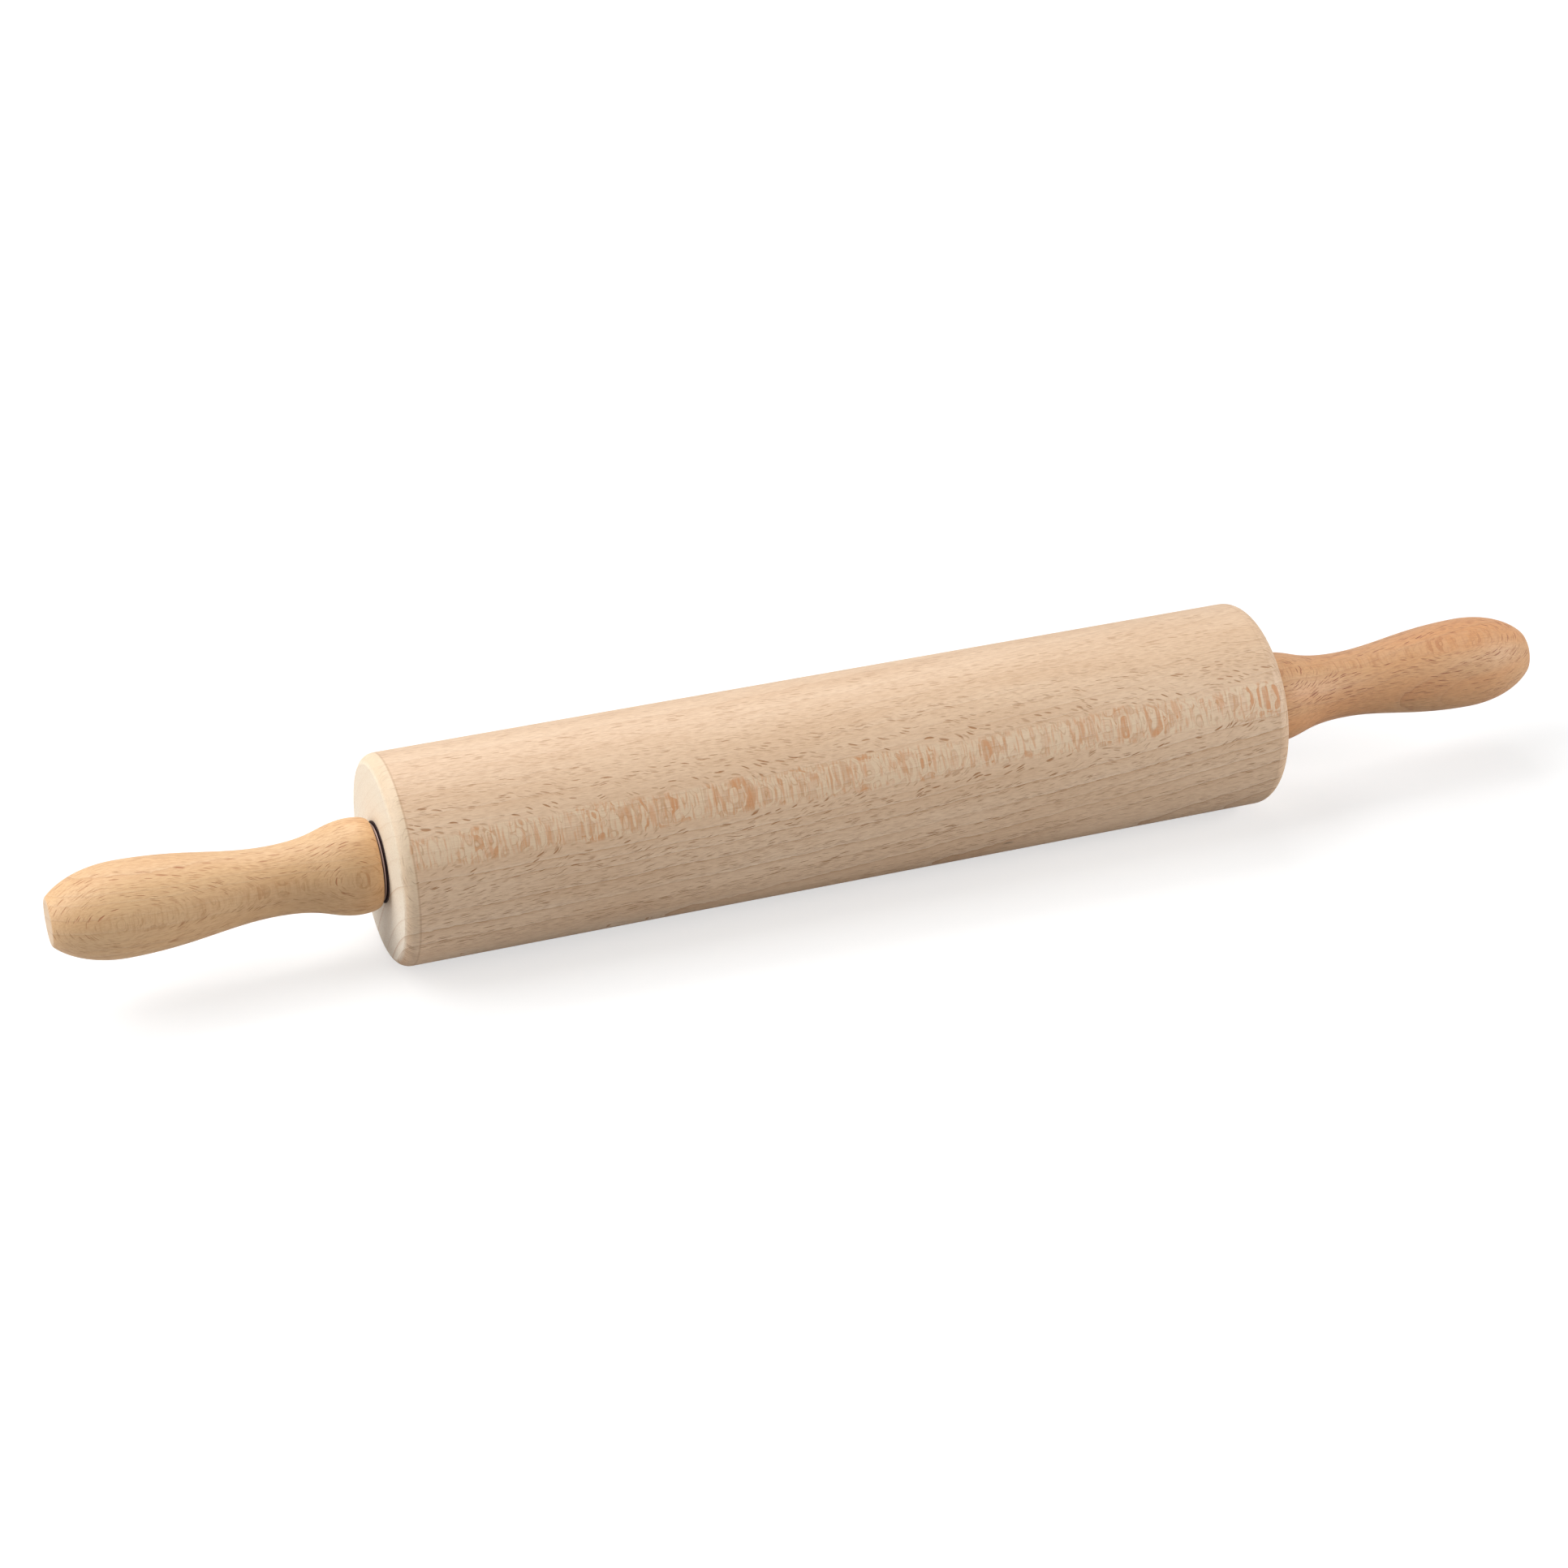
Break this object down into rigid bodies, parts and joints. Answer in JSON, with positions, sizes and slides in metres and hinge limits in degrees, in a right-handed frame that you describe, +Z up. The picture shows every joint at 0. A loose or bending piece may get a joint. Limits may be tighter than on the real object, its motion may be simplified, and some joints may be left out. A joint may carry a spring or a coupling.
{
  "type": "rolling pin",
  "caption": "Beech rolling pin: a thick cylindrical roller with rounded edges, turning on ball bearings, and a turned bulbous handle at each end.",
  "frame": {"origin": "on the surface the pin lies on, under the middle of the roller", "axes": "+X along the pin's axis from the left handle to the right handle, +Z up"},
  "size_m": [0.4478, 0.06, 0.06],
  "materials": {
    "beech_roller": "sanded, unoiled",
    "beech_handle": "sanded, lightly waxed",
    "bright_steel": "satin",
    "blackened_steel": "blackened, satin",
    "spring_steel": "phosphated",
    "bearing_steel": "ground and polished",
    "black_nylon": "matt",
    "cage_nylon": "matt, natural colour"
  },
  "bodies": {
    "roller": {"roller": "beech_roller", "left_bearing_sleeve": "blackened_steel", "left_outer_race": "bearing_steel", "left_outer_shield": "bright_steel", "left_inner_shield": "bright_steel", "right_bearing_sleeve": "blackened_steel", "right_outer_race": "bearing_steel", "right_outer_shield": "bright_steel", "right_inner_shield": "bright_steel"},
    "axle": {"axle_rod": "bright_steel", "left_handle": "beech_handle", "left_nylon_washer": "black_nylon", "left_steel_washer": "bright_steel", "left_retaining_ring": "spring_steel", "left_inner_race": "bearing_steel", "right_handle": "beech_handle", "right_nylon_washer": "black_nylon", "right_steel_washer": "bright_steel", "right_retaining_ring": "spring_steel", "right_inner_race": "bearing_steel"},
    "left_cage": {"left_ball_cage": "cage_nylon", "left_balls": "bearing_steel"},
    "right_cage": {"right_ball_cage": "cage_nylon", "right_balls": "bearing_steel"}
  },
  "joints": [
    {"name": "axle_spin", "type": "hinge", "parent": "roller", "child": "axle", "pos_m": [0, 0, 0.03], "axis": [1, 0, 0], "continuous": true},
    {"name": "left_cage_spin", "type": "hinge", "parent": "roller", "child": "left_cage", "pos_m": [-0.1275, 0, 0.03], "axis": [1, 0, 0], "continuous": true},
    {"name": "right_cage_spin", "type": "hinge", "parent": "roller", "child": "right_cage", "pos_m": [0.1275, 0, 0.03], "axis": [1, 0, 0], "continuous": true}
  ],
  "couplings": [
    {"joint": "left_cage_spin", "follows": "axle_spin", "ratio": 0.3825},
    {"joint": "right_cage_spin", "follows": "axle_spin", "ratio": 0.3825}
  ]
}
